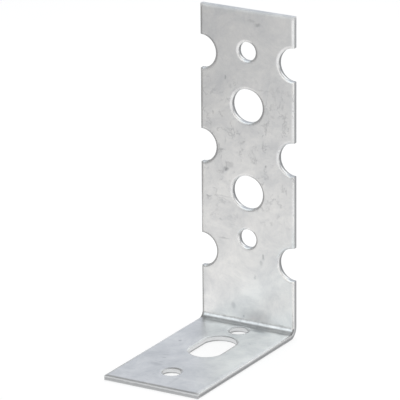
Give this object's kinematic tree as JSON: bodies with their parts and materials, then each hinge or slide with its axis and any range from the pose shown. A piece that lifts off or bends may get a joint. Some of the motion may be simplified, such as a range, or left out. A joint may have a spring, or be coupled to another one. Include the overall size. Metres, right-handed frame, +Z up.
{
  "type": "right-angle wall anchor",
  "caption": "L-shaped anchor of folded galvanised sheet: a long leg with round holes and half-round edge notches, and a short leg with a slot for a fixing.",
  "frame": {"origin": "on the floor plane, in the middle of the footprint (halfway across the strip and halfway along the base)", "axes": "+Z up the upright, +Y towards the wall face (the back of the upright), +X across the strip"},
  "size_m": [0.038, 0.07, 0.12],
  "materials": {
    "galvanised_steel": "hot-dip galvanised sheet, dull grey with a fine spangle and bare punched edges"
  },
  "bodies": {
    "root": {"wall_anchor": "galvanised_steel"}
  },
  "joints": []
}
